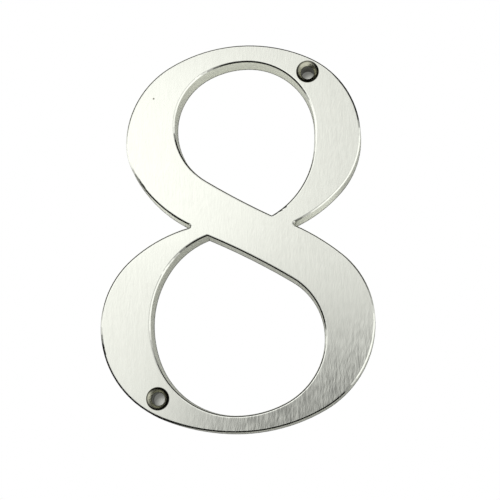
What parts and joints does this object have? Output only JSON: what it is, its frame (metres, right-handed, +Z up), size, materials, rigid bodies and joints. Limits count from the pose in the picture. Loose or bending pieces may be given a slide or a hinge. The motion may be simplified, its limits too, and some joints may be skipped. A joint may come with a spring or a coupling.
{
  "type": "mailbox number",
  "caption": "Cast metal figure eight for a mailbox, door or wall, with swelling strokes, a brushed face with a rounded rim, and countersunk holes for screws.",
  "frame": {"origin": "on the flat back face, at the middle of the figure's overall width and height", "axes": "+Z up the figure, +X to the right as it is read, -Y out of the face, +Y into the wall"},
  "size_m": [0.07, 0.0065, 0.1004],
  "materials": {
    "satin_nickel": "satin nickel plating on a zinc casting, face brushed up and down, walls and rim satin"
  },
  "bodies": {
    "root": {"numeral_eight": "satin_nickel"}
  },
  "joints": []
}
